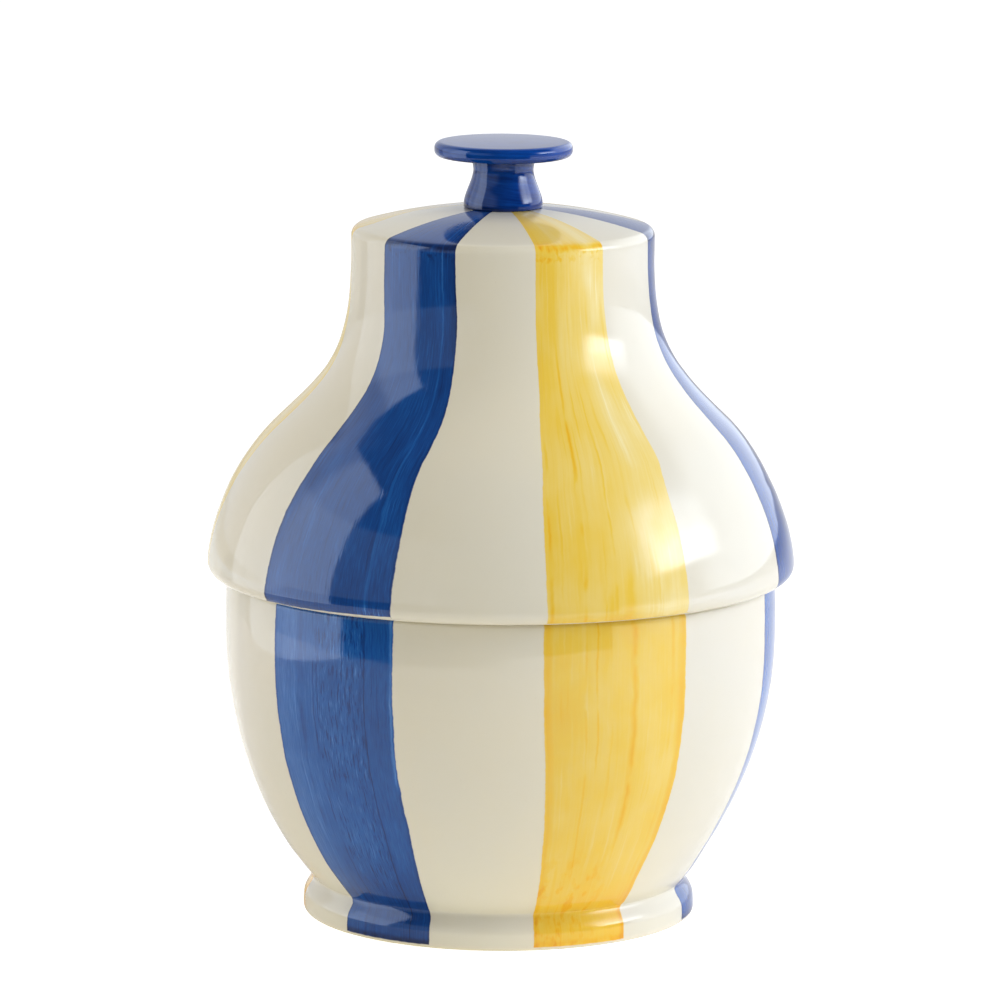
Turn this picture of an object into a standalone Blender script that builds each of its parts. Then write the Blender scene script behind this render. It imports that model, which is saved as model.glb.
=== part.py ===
"""A lidded ceramic canister, turned about +Z and standing on the table at z = 0.

A belly-shaped bowl stands on a flared foot ring. A bell-shaped lid rests on the
bowl's rim, is kept in place by a flange inside the mouth, and is lifted by a
spool-shaped knob. Lengths are in metres and angles in degrees.
"""

import math

import bpy

# Gaps
SEAT_GAP = 0.0003  # between two pieces that rest on each other
FLANGE_CLEARANCE = 0.0016  # round the lid's flange, inside the jar's mouth
MERGE_DISTANCE = 0.00001  # joins a turned profile's points on its own axis

# Foot ring
FOOT_HEIGHT = 0.0119
FOOT_RADIUS = 0.0669  # widest, near the table
FOOT_FLARE_HEIGHT = 0.0045  # level of the widest radius
FOOT_EDGE_ROUND = 0.0013
FOOT_LAND = 0.0040  # width of the flat ring that touches the table
FOOT_TOP_WIDTH = 0.0110
FOOT_FLARE_TOP_SHARE = 0.45
FOOT_FLARE_BASE_SHARE = 0.35

# Bowl
WAIST_RADIUS = 0.0638  # crease where the bowl meets its foot
BELLY_RADIUS = 0.0938
SIDE_RISE = 0.0850  # from the waist up to the widest level
COLLAR_RISE = 0.0195  # from the widest level up to the rim
MOUTH_DRAW = 0.0003  # how far the rim is drawn in from the belly
JAR_WALL = 0.0050
JAR_FLOOR = 0.0060
RIM_ROUND = 0.0018
FLOOR_ROUND = 0.0140
COLLAR_BEND_SHARE = 0.55  # height in the collar at which it starts to draw in

# Lid
LIP_RADIUS = 0.1000  # the canister's widest radius
LIP_ROUND = 0.0040
SWELL_RADIUS = 0.0764  # where the bell's curve turns from bulging to hollow
SWELL_RISE = 0.0492  # from the lip's widest level up to the swell
NECK_RADIUS = 0.0514
NECK_RISE = 0.0612  # from the swell up to the straight neck
NECK_BAND = 0.0039
CROWN_RISE = 0.0069  # from the shoulder's corner up to the knob's seat
SHOULDER_ROUND = 0.0032
LID_WALL = 0.0050
CROWN_WALL = 0.0055
LEDGE_HEIGHT = 0.0065  # thickness of the ring that rests on the jar's rim
LEDGE_ROUND = 0.0030
CEILING_ROUND = 0.0040
SWELL_SLOPE = 46.5  # degrees away from the vertical
LIP_PULL_SHARE = 0.155
SWELL_LOWER_PULL_SHARE = 0.505
SWELL_UPPER_PULL_SHARE = 0.450
NECK_PULL_SHARE = 0.575

# Flange inside the mouth
FLANGE_DEPTH = 0.0130
FLANGE_WALL = 0.0045
FLANGE_ROUND = 0.0012

# Knob
STEM_HEIGHT = 0.0154
STEM_BASE_RADIUS = 0.0134
STEM_WAIST_RADIUS = 0.0102
STEM_TOP_RADIUS = 0.0106
STEM_BASE_BAND = 0.0020
STEM_BASE_ROUND = 0.0006
STEM_TOP_BAND = 0.0028
STEM_PULL_SHARE = 0.30
SEAT_MARGIN = 0.0004  # flat on the lid's crown beyond the stem
DISC_RADIUS = 0.0234
DISC_EDGE = 0.0052  # height of the rounded rim
DISC_UNDERCUT = 0.0015  # how far the underside falls from its rim to the stem
DISC_ROUND = 0.0021

# Facets
JAR_SEGMENTS = 48
KNOB_SEGMENTS = 36
SIDE_STEPS = 16
INNER_SIDE_STEPS = 10
BELL_STEPS = 10
INNER_BELL_STEPS = 7
FLARE_STEPS = 4
STEM_STEPS = 5
CORNER_STEPS = 3
WIDE_CORNER_STEPS = 4
CROWN_STEPS = 4

# Places that follow from the sizes above
MOUTH_RADIUS = BELLY_RADIUS - MOUTH_DRAW
MOUTH_INNER_RADIUS = MOUTH_RADIUS - JAR_WALL
FLANGE_RADIUS = MOUTH_INNER_RADIUS - FLANGE_CLEARANCE
FLANGE_INNER_RADIUS = FLANGE_RADIUS - FLANGE_WALL
BOWL_Z = FOOT_HEIGHT + SEAT_GAP
BOWL_HEIGHT = SIDE_RISE + COLLAR_RISE
LID_Z = BOWL_Z + BOWL_HEIGHT + SEAT_GAP
LIP_LEVEL = LIP_ROUND
SWELL_LEVEL = LIP_LEVEL + SWELL_RISE
NECK_LEVEL = SWELL_LEVEL + NECK_RISE
SHOULDER_LEVEL = NECK_LEVEL + NECK_BAND
CROWN_LEVEL = SHOULDER_LEVEL + CROWN_RISE
STEM_Z = LID_Z + CROWN_LEVEL + SEAT_GAP
DISC_Z = STEM_Z + STEM_HEIGHT + SEAT_GAP

# Glazes
CREAM = (0.60, 0.57, 0.48, 1.0)
CREAM_ROUGHNESS = 0.12
PLAIN_CREAM = (0.55, 0.52, 0.43, 1.0)
PLAIN_ROUGHNESS = 0.25
COBALT = (0.010, 0.035, 0.22, 1.0)
COBALT_ROUGHNESS = 0.10


def arc(centre, radius, start, end, steps):
    """Points on a circle round centre, from angle start to angle end, in degrees from +X."""
    points = []
    for step in range(steps + 1):
        angle = math.radians(start + (end - start) * step / steps)
        points.append((centre[0] + radius * math.cos(angle), centre[1] + radius * math.sin(angle)))
    return points


def bezier(start, start_handle, end_handle, end, steps):
    """Points on a cubic curve, both ends included."""
    points = []
    for step in range(steps + 1):
        t = step / steps
        weights = ((1 - t) ** 3, 3 * t * (1 - t) ** 2, 3 * t**2 * (1 - t), t**3)
        knots = (start, start_handle, end_handle, end)
        points.append(tuple(sum(w * knot[i] for w, knot in zip(weights, knots)) for i in (0, 1)))
    return points


def corner(before, point, after, radius, steps=CORNER_STEPS):
    """The corner at point, between its two neighbours, rounded to radius."""
    legs = []
    for other in (before, after):
        run = (other[0] - point[0], other[1] - point[1])
        length = math.hypot(*run)
        legs.append((run[0] / length, run[1] / length, length))
    (ax, az, a_length), (bx, bz, b_length) = legs
    half = math.acos(max(-1.0, min(1.0, ax * bx + az * bz))) / 2
    # The rounding is limited by the shorter of its two sides.
    reach = min(radius / math.tan(half), a_length, b_length)
    radius = reach * math.tan(half)
    middle = (ax + bx, az + bz)
    scale = math.hypot(radius, reach) / math.hypot(*middle)
    centre = (point[0] + middle[0] * scale, point[1] + middle[1] * scale)
    ends = []
    for leg in (legs[0], legs[1]):
        touch = (point[0] + leg[0] * reach, point[1] + leg[1] * reach)
        ends.append(math.degrees(math.atan2(touch[1] - centre[1], touch[0] - centre[0])))
    turn = (ends[1] - ends[0] + 180) % 360 - 180
    return arc(centre, radius, ends[0], ends[0] + turn, steps)


def inset(points, distance):
    """The line of points moved sideways by distance, to the right of its run."""
    moved = []
    last = len(points) - 1
    for index, (x, z) in enumerate(points):
        before = points[max(index - 1, 0)]
        after = points[min(index + 1, last)]
        run = (after[0] - before[0], after[1] - before[1])
        length = math.hypot(*run)
        moved.append((x + run[1] / length * distance, z - run[0] / length * distance))
    return moved


def side_circle():
    """Centre and radius of the bowl's side: upright at the belly, and through the waist."""
    spread = BELLY_RADIUS - WAIST_RADIUS
    radius = (SIDE_RISE**2 + spread**2) / (2 * spread)
    return (BELLY_RADIUS - radius, SIDE_RISE), radius


def foot_profile():
    """Closed outline of the foot ring, from its top outer corner down and round."""
    top = (WAIST_RADIUS, FOOT_HEIGHT)
    wide = (FOOT_RADIUS, FOOT_FLARE_HEIGHT)
    flare = FOOT_HEIGHT - FOOT_FLARE_HEIGHT
    lean = (FOOT_RADIUS - WAIST_RADIUS) / flare
    top_pull = flare * FOOT_FLARE_TOP_SHARE
    base_pull = flare * FOOT_FLARE_BASE_SHARE
    outer = bezier(
        top,
        (top[0] + top_pull * lean, top[1] - top_pull),
        (wide[0], wide[1] + base_pull),
        wide,
        FLARE_STEPS,
    )
    edge = (FOOT_RADIUS, 0)
    land = (FOOT_RADIUS - FOOT_EDGE_ROUND - FOOT_LAND, 0)
    inner_top = (WAIST_RADIUS - FOOT_TOP_WIDTH, FOOT_HEIGHT)
    return outer + corner(wide, edge, land, FOOT_EDGE_ROUND) + [land, inner_top]


def bowl_profile():
    """Outline of the bowl from the floor's middle, over the rim and down to its base."""
    centre, radius = side_circle()
    inner = radius - JAR_WALL
    middle_z = JAR_FLOOR + FLOOR_ROUND
    middle_x = centre[0] + math.sqrt((inner - FLOOR_ROUND) ** 2 - (centre[1] - middle_z) ** 2)
    meet = -math.degrees(math.asin((centre[1] - middle_z) / (inner - FLOOR_ROUND)))
    floor = [(0, JAR_FLOOR)] + arc((middle_x, middle_z), FLOOR_ROUND, -90, meet, WIDE_CORNER_STEPS)
    inner_side = arc(centre, inner, meet, 0, INNER_SIDE_STEPS)[1:]
    bend = SIDE_RISE + COLLAR_RISE * COLLAR_BEND_SHARE
    inner_bend = (BELLY_RADIUS - JAR_WALL, bend)
    inner_rim = (MOUTH_INNER_RADIUS, BOWL_HEIGHT)
    outer_rim = (MOUTH_RADIUS, BOWL_HEIGHT)
    outer_bend = (BELLY_RADIUS, bend)
    middle_rim = ((MOUTH_INNER_RADIUS + MOUTH_RADIUS) / 2, BOWL_HEIGHT)
    rim = corner(inner_bend, inner_rim, middle_rim, RIM_ROUND)
    rim += corner(middle_rim, outer_rim, outer_bend, RIM_ROUND)
    base = -math.degrees(math.asin(SIDE_RISE / radius))
    outer_side = arc(centre, radius, 0, base, SIDE_STEPS)
    return floor + inner_side + [inner_bend] + rim + [outer_bend] + outer_side + [(0, 0)]


def bell(steps):
    """The bell's outer curve, from the straight neck down to the lip's widest level."""
    slope = math.radians(SWELL_SLOPE)
    swell = (SWELL_RADIUS, SWELL_LEVEL)
    neck = (NECK_RADIUS, NECK_LEVEL)
    lip = (LIP_RADIUS, LIP_LEVEL)
    up = NECK_RISE * SWELL_UPPER_PULL_SHARE
    down = SWELL_RISE * SWELL_LOWER_PULL_SHARE
    upper = bezier(
        neck,
        (neck[0], neck[1] - NECK_RISE * NECK_PULL_SHARE),
        (swell[0] - up * math.sin(slope), swell[1] + up * math.cos(slope)),
        swell,
        steps,
    )
    lower = bezier(
        swell,
        (swell[0] + down * math.sin(slope), swell[1] - down * math.cos(slope)),
        (lip[0], lip[1] + SWELL_RISE * LIP_PULL_SHARE),
        lip,
        steps,
    )
    return upper + lower[1:]


def crown_circle():
    """Centre and radius of the domed crown, through the knob's seat and the shoulder's corner."""
    seat = (STEM_BASE_RADIUS + SEAT_MARGIN, CROWN_LEVEL)
    spread = NECK_RADIUS**2 - seat[0] ** 2
    centre_z = (seat[1] + SHOULDER_LEVEL - spread / CROWN_RISE) / 2
    return (0, centre_z), math.hypot(seat[0], seat[1] - centre_z)


def cap(centre, radius, reach, steps):
    """The top of a circle whose centre is on the axis, from distance reach inwards to the axis."""
    start = math.degrees(math.acos(reach / radius))
    return arc(centre, radius, start, 90, steps)


def lid_profile():
    """Outline of the lid from its crown's middle, round the lip and up to the ceiling's middle."""
    centre, radius = crown_circle()
    seat_angle = math.degrees(math.acos((STEM_BASE_RADIUS + SEAT_MARGIN) / radius))
    shoulder_angle = math.degrees(math.acos(NECK_RADIUS / radius))
    dome = arc(centre, radius, seat_angle, shoulder_angle, CROWN_STEPS)
    neck = (NECK_RADIUS, NECK_LEVEL)
    crown = [(0, CROWN_LEVEL)] + dome[:-1]
    crown += corner(dome[-2], dome[-1], neck, SHOULDER_ROUND, WIDE_CORNER_STEPS)
    lip = arc((LIP_RADIUS - LIP_ROUND, LIP_ROUND), LIP_ROUND, 0, -90, WIDE_CORNER_STEPS)[1:]
    ledge_base = (FLANGE_INNER_RADIUS, 0)
    ledge_top = (FLANGE_INNER_RADIUS, LEDGE_HEIGHT)
    inner = inset(bell(INNER_BELL_STEPS), LID_WALL)[::-1]
    inner = [point for point in inner if point[1] > LEDGE_HEIGHT + LEDGE_ROUND]
    ledge_corner = (inner[0][0] + (inner[0][0] - inner[1][0]) / 2, LEDGE_HEIGHT)
    ledge = corner(ledge_top, ledge_corner, inner[0], LEDGE_ROUND)
    ceiling = cap(centre, radius - CROWN_WALL, NECK_RADIUS - LID_WALL, CROWN_STEPS)
    vault = corner(inner[-1], ceiling[0], ceiling[1], CEILING_ROUND) + ceiling[1:-1]
    vault.append((0, ceiling[-1][1]))
    return crown + bell(BELL_STEPS) + lip + [ledge_base, ledge_top] + ledge + inner + vault


def flange_profile():
    """Closed outline of the ring that hangs in the jar's mouth, below z = 0."""
    top, base = -SEAT_GAP, -FLANGE_DEPTH
    corners = [
        (FLANGE_RADIUS, top),
        (FLANGE_RADIUS, base),
        (FLANGE_INNER_RADIUS, base),
        (FLANGE_INNER_RADIUS, top),
    ]
    middle = ((FLANGE_RADIUS + FLANGE_INNER_RADIUS) / 2, base)
    outer = corner(corners[0], corners[1], middle, FLANGE_ROUND)
    inner = corner(middle, corners[2], corners[3], FLANGE_ROUND)
    return [corners[0]] + outer + inner + [corners[3]]


def stem_profile():
    """Outline of the knob's stem from the middle of its top to the middle of its base."""
    top = (STEM_TOP_RADIUS, STEM_HEIGHT)
    waist = (STEM_WAIST_RADIUS, STEM_HEIGHT - STEM_TOP_BAND)
    band = (STEM_BASE_RADIUS, STEM_BASE_BAND)
    pull = (waist[1] - band[1]) * STEM_PULL_SHARE
    taper = bezier(waist, (waist[0], waist[1] - pull), (band[0], band[1] + pull), band, STEM_STEPS)
    base = corner(band, (STEM_BASE_RADIUS, 0), (0, 0), STEM_BASE_ROUND)
    return [(0, STEM_HEIGHT), top] + taper + base + [(0, 0)]


def disc_profile():
    """Outline of the knob's disc from the middle of its top to the middle of its underside."""
    top = DISC_UNDERCUT + DISC_EDGE
    side = (DISC_RADIUS, DISC_UNDERCUT + DISC_EDGE / 2)
    upper = corner((0, top), (DISC_RADIUS, top), side, DISC_ROUND, WIDE_CORNER_STEPS)
    hub = (STEM_TOP_RADIUS, 0)
    lower = corner(side, (DISC_RADIUS, DISC_UNDERCUT), hub, DISC_ROUND, WIDE_CORNER_STEPS)
    return [(0, top)] + upper + lower + [hub, (0, 0)]


def glaze(name, colour, roughness):
    """A Principled material: glazed clay of one colour."""
    material = bpy.data.materials.new(name)
    material.use_nodes = True
    shader = material.node_tree.nodes["Principled BSDF"]
    shader.inputs["Base Color"].default_value = colour
    shader.inputs["Roughness"].default_value = roughness
    shader.inputs["Metallic"].default_value = 0.0
    material.diffuse_color = colour
    return material


def turned(name, profile, segments, colour, roughness, is_ring=False):
    """A glazed piece turned about +Z from a profile that runs down its outer side."""
    mesh = bpy.data.meshes.new(name)
    last = len(profile) - 1
    edges = [(index, index + 1) for index in range(last)]
    if is_ring:
        edges.append((last, 0))
    mesh.from_pydata([(x, 0, z) for x, z in profile], edges, [])
    mesh.materials.append(glaze(name + "_glaze", colour, roughness))
    piece = bpy.data.objects.new(name, mesh)
    turn = piece.modifiers.new("turn", "SCREW")
    turn.axis = "Z"
    turn.angle = 2 * math.pi
    turn.steps = segments
    turn.render_steps = segments
    turn.use_merge_vertices = True
    turn.merge_threshold = MERGE_DISTANCE
    turn.use_smooth_shade = True
    return piece


def holder(name, z, collection):
    """An empty on the axis at height z, which carries one body's pieces."""
    empty = bpy.data.objects.new(name, None)
    empty.location = (0, 0, z)
    collection.objects.link(empty)
    return empty


def place(piece, parent, z, collection):
    """Puts a piece on the axis with its own z = 0 at height z, carried by parent."""
    collection.objects.link(piece)
    piece.parent = parent
    piece.location = (0, 0, z - parent.location.z)


def build_jar(collection):
    """The jar that stays on the table: foot ring and bowl."""
    jar = holder("jar", 0, collection)
    cream = (CREAM, CREAM_ROUGHNESS)
    foot = turned("jar_foot", foot_profile(), JAR_SEGMENTS, *cream, is_ring=True)
    bowl = turned("jar_bowl", bowl_profile(), JAR_SEGMENTS, *cream)
    place(foot, jar, 0, collection)
    place(bowl, jar, BOWL_Z, collection)


def build_lid(collection):
    """The lid that lifts off: dome, flange and knob, with its origin on the seat's plane."""
    lid = holder("lid", LID_Z, collection)
    plain = (PLAIN_CREAM, PLAIN_ROUGHNESS)
    cobalt = (COBALT, COBALT_ROUGHNESS)
    dome = turned("lid_dome", lid_profile(), JAR_SEGMENTS, CREAM, CREAM_ROUGHNESS)
    flange = turned("lid_flange", flange_profile(), JAR_SEGMENTS, *plain, is_ring=True)
    stem = turned("knob_stem", stem_profile(), KNOB_SEGMENTS, *cobalt)
    disc = turned("knob_disc", disc_profile(), KNOB_SEGMENTS, *cobalt)
    place(dome, lid, LID_Z, collection)
    place(flange, lid, LID_Z, collection)
    place(stem, lid, STEM_Z, collection)
    place(disc, lid, DISC_Z, collection)


def main():
    """Clears the scene and builds the canister."""
    for old in list(bpy.data.objects):
        bpy.data.objects.remove(old)
    collection = bpy.data.collections.new("lidded_canister")
    bpy.context.scene.collection.children.link(collection)
    build_jar(collection)
    build_lid(collection)


main()
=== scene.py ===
"""Looks of the lidded canister: turned clay under a clear glaze, hand-painted in broad stripes.

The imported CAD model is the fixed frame. Every CAD node is replaced by a finely turned piece of
the same shape, which carries the small unevenness of hand throwing, and is dressed in node-based
glazes. Lengths are in metres, angles in degrees unless a name says otherwise. The angle round the
pot is 0 at the photographed front (-Y) and grows towards +X.
"""

import enum
import logging
import math
from dataclasses import dataclass, field

import bmesh
import bpy
from mathutils import Matrix, Vector, noise
from mathutils.geometry import interpolate_bezier


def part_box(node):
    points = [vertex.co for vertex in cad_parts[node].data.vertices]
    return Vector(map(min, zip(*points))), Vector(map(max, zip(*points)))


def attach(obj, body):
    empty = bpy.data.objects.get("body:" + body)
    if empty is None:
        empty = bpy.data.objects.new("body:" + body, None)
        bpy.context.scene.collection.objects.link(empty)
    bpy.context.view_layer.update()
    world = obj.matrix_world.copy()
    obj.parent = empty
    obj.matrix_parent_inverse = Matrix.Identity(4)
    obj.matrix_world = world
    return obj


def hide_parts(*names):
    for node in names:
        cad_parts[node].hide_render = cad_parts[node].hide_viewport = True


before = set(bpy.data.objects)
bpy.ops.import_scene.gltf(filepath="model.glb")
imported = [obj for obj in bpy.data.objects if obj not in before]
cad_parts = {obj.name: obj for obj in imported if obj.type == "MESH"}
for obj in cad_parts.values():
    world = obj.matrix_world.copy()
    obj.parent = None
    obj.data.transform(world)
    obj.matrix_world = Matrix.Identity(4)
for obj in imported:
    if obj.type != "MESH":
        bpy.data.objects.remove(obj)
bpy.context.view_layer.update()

LOG = logging.getLogger("canister")
MERGE_DISTANCE = 0.000002
COARSE_STEP = 0.0012
FINE_STEP = 0.0006
FULL_TURN = 2 * math.pi
MILLIMETRES = 1000.0
SHADER = "Principled BSDF"

# How much of a side stays free of steps beside a rounded corner, in radii of its rounding.
CORNER_ROOM = 1.3
WIDE_CORNER_ROOM = 1.5

WHITE = (1.0, 1.0, 1.0, 1.0)
BLACK = (0.0, 0.0, 0.0, 1.0)

Point = tuple[float, float]
Colour = tuple[float, float, float, float]
Table = tuple[Point, ...]
Stops = tuple[tuple[float, Colour], ...]


def srgb(red: int, green: int, blue: int) -> Colour:
    """Turns a colour as a screen shows it, 0 to 255, into the linear colour that shaders take."""
    linear = []
    for part in (red, green, blue):
        share = part / 255
        linear.append(share / 12.92 if share <= 0.04045 else ((share + 0.055) / 1.055) ** 2.4)
    return (linear[0], linear[1], linear[2], 1.0)


def between(table: Table, level: float) -> float:
    """Reads a table of (level, value) points at one level, with straight lines between them."""
    if level <= table[0][0]:
        return table[0][1]
    for (low, before), (high, after) in zip(table, table[1:]):
        if level <= high:
            return before + (after - before) * (level - low) / (high - low)
    return table[-1][1]


def put_in_scene(name: str, data: bpy.types.ID) -> bpy.types.Object:
    """Makes an object of a mesh, a light or a camera and links it to the scene."""
    made = bpy.data.objects.new(name, data)
    bpy.context.scene.collection.objects.link(made)
    return made


class Value:
    """One output inside a material, which takes part in Python sums as its own Math nodes."""

    def __init__(self, graph: "Graph", socket: bpy.types.NodeSocket) -> None:
        """Keeps the socket and the graph that it belongs to."""
        self.graph = graph
        self.socket = socket

    def out(self, name: str) -> "Value":
        """Another output of the same node."""
        return Value(self.graph, self.socket.node.outputs[name])

    def __add__(self, other: "Operand") -> "Value":
        """Sum."""
        return self.graph.maths("ADD", self, other)

    def __radd__(self, other: "Operand") -> "Value":
        """Sum, with a plain number first."""
        return self.graph.maths("ADD", other, self)

    def __sub__(self, other: "Operand") -> "Value":
        """Difference."""
        return self.graph.maths("SUBTRACT", self, other)

    def __rsub__(self, other: "Operand") -> "Value":
        """Difference, with a plain number first."""
        return self.graph.maths("SUBTRACT", other, self)

    def __mul__(self, other: "Operand") -> "Value":
        """Product."""
        return self.graph.maths("MULTIPLY", self, other)

    def __rmul__(self, other: "Operand") -> "Value":
        """Product, with a plain number first."""
        return self.graph.maths("MULTIPLY", other, self)

    def __truediv__(self, other: "Operand") -> "Value":
        """Quotient."""
        return self.graph.maths("DIVIDE", self, other)

    def __rtruediv__(self, other: "Operand") -> "Value":
        """Quotient, with a plain number first."""
        return self.graph.maths("DIVIDE", other, self)

    def __neg__(self) -> "Value":
        """The same size with the other sign."""
        return self.graph.maths("MULTIPLY", self, -1.0)

    def __abs__(self) -> "Value":
        """Size without its sign."""
        return self.graph.maths("ABSOLUTE", self)

    def clamped(self) -> "Value":
        """The value held between 0 and 1."""
        return self.graph.node("ShaderNodeClamp", {}, {"Value": self})

    def rise(self, start: float, end: float) -> "Value":
        """Goes smoothly from 0 at start to 1 at end."""
        settings = {"interpolation_type": "SMOOTHSTEP"}
        sockets = {"Value": self, "From Min": start, "From Max": end}
        if start > end:
            sockets = {"Value": self, "From Min": end, "From Max": start, "To Min": 1.0, "To Max": 0.0}
        return self.graph.node("ShaderNodeMapRange", settings, sockets)

    def near(self, centre: "Operand", reach: float) -> "Value":
        """A soft bump: 1 at centre, 0 from reach away on both sides."""
        return abs(self - centre).rise(reach, 0.0)


Operand = Value | float


class Graph:
    """A node tree that is written as expressions."""

    def __init__(self, tree: bpy.types.NodeTree) -> None:
        """Keeps the tree."""
        self.tree = tree

    def node(self, kind: str, settings: dict, sockets: dict, output: int | str = 0) -> Value:
        """Adds a node.

        Args:
            kind: the node's type.
            settings: its properties, set first; "stops" fills a ramp and "bends" a curve.
            sockets: values, colours or links of its inputs, by name or number.
            output: which output to give back.

        Returns:
            The chosen output.
        """
        made = self.tree.nodes.new(kind)
        for name, setting in settings.items():
            if name == "stops":
                self.fill_ramp(made.color_ramp, setting)
            elif name == "bends":
                self.fill_curve(made.mapping, setting)
            else:
                setattr(made, name, setting)
        for name, value in sockets.items():
            if isinstance(value, Value):
                self.tree.links.new(value.socket, made.inputs[name])
            else:
                made.inputs[name].default_value = value
        return Value(self, made.outputs[output])

    @staticmethod
    def fill_ramp(ramp: bpy.types.ColorRamp, stops: Stops) -> None:
        """Puts the stops of a colour ramp."""
        while len(ramp.elements) < len(stops):
            ramp.elements.new(1.0)
        for element, (position, colour) in zip(ramp.elements, stops):
            element.position = position
            element.color = colour

    @staticmethod
    def fill_curve(mapping: bpy.types.CurveMapping, bends: Table) -> None:
        """Puts the points of a curve, which has two to begin with."""
        curve = mapping.curves[0]
        curve.points[0].location = bends[0]
        curve.points[1].location = bends[-1]
        for bend in bends[1:-1]:
            curve.points.new(*bend)
        for point in curve.points:
            point.handle_type = "AUTO_CLAMPED"
        mapping.update()

    def feed(self, value: Value, node: str, name: str) -> None:
        """Links a value to an input of a node that the tree had to begin with."""
        self.tree.links.new(value.socket, self.tree.nodes[node].inputs[name])

    def maths(self, operation: str, *operands: Operand) -> Value:
        """A Math node."""
        return self.node("ShaderNodeMath", {"operation": operation}, dict(enumerate(operands)))

    def blend(self, first: Value | Colour, second: Value | Colour, share: Operand) -> Value:
        """Mixes two colours: share 0 gives the first, 1 the second."""
        sockets = {0: share, 6: first, 7: second}
        return self.node("ShaderNodeMix", {"data_type": "RGBA"}, sockets, 2)

    def ramp(self, share: Value, stops: Stops) -> Value:
        """A colour that follows a value through its stops."""
        return self.node("ShaderNodeValToRGB", {"stops": stops}, {"Fac": share})

    def grain(self, x: Operand, y: Operand, z: Operand, detail: float = 2.0) -> Value:
        """Noise between 0 and 1 whose features are about one unit of the given coordinates."""
        place = self.node("ShaderNodeCombineXYZ", {}, {"X": x, "Y": y, "Z": z})
        return self.node("ShaderNodeTexNoise", {}, {"Vector": place, "Scale": 1.0, "Detail": detail})

    def table(self, level: Value, table: Table, top: float) -> Value:
        """Follows a table of (level, value) points with a smooth curve.

        Args:
            level: the level to read the table at, from 0 to top.
            table: the points, by rising level.
            top: the highest level.

        Returns:
            The value at that level.
        """
        low = min(value for _, value in table)
        span = max(value for _, value in table) - low
        bends = tuple((height / top, (value - low) / span) for height, value in table)
        return low + span * self.node("ShaderNodeFloatCurve", {"bends": bends}, {"Value": level / top})


class Spot:
    """A point of the surface at rest, as its material sees it; the pieces' objects sit at the origin."""

    def __init__(self, graph: Graph) -> None:
        """Reads the Object coordinates, in metres."""
        place = graph.node("ShaderNodeTexCoord", {}, {}, "Object")
        self.graph = graph
        self.x = graph.node("ShaderNodeSeparateXYZ", {}, {"Vector": place})
        self.y = self.x.out("Y")
        self.z = self.x.out("Z")

    def height(self) -> Value:
        """The height in millimetres."""
        return self.z * MILLIMETRES

    def angle(self) -> Value:
        """The angle round the pot in degrees, 0 at the front and growing towards +X."""
        return self.graph.maths("ARCTAN2", self.x, -self.y) * math.degrees(1)

    def radius(self) -> Value:
        """The distance from the axis in metres."""
        return self.graph.maths("SQRT", self.x * self.x + self.y * self.y)

    def grain(self, size: float, detail: float) -> Value:
        """Noise between 0 and 1 whose features are about size metres."""
        return self.graph.grain(self.x / size, self.y / size, self.z / size, detail)


class Paint(enum.Enum):
    """The two colours of the stripes."""

    BLUE = "blue"
    YELLOW = "yellow"


@dataclass(frozen=True)
class Stripe:
    """One painted stripe, with the angles of its edges at heights in millimetres."""

    paint: Paint
    left: Table
    right: Table


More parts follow.
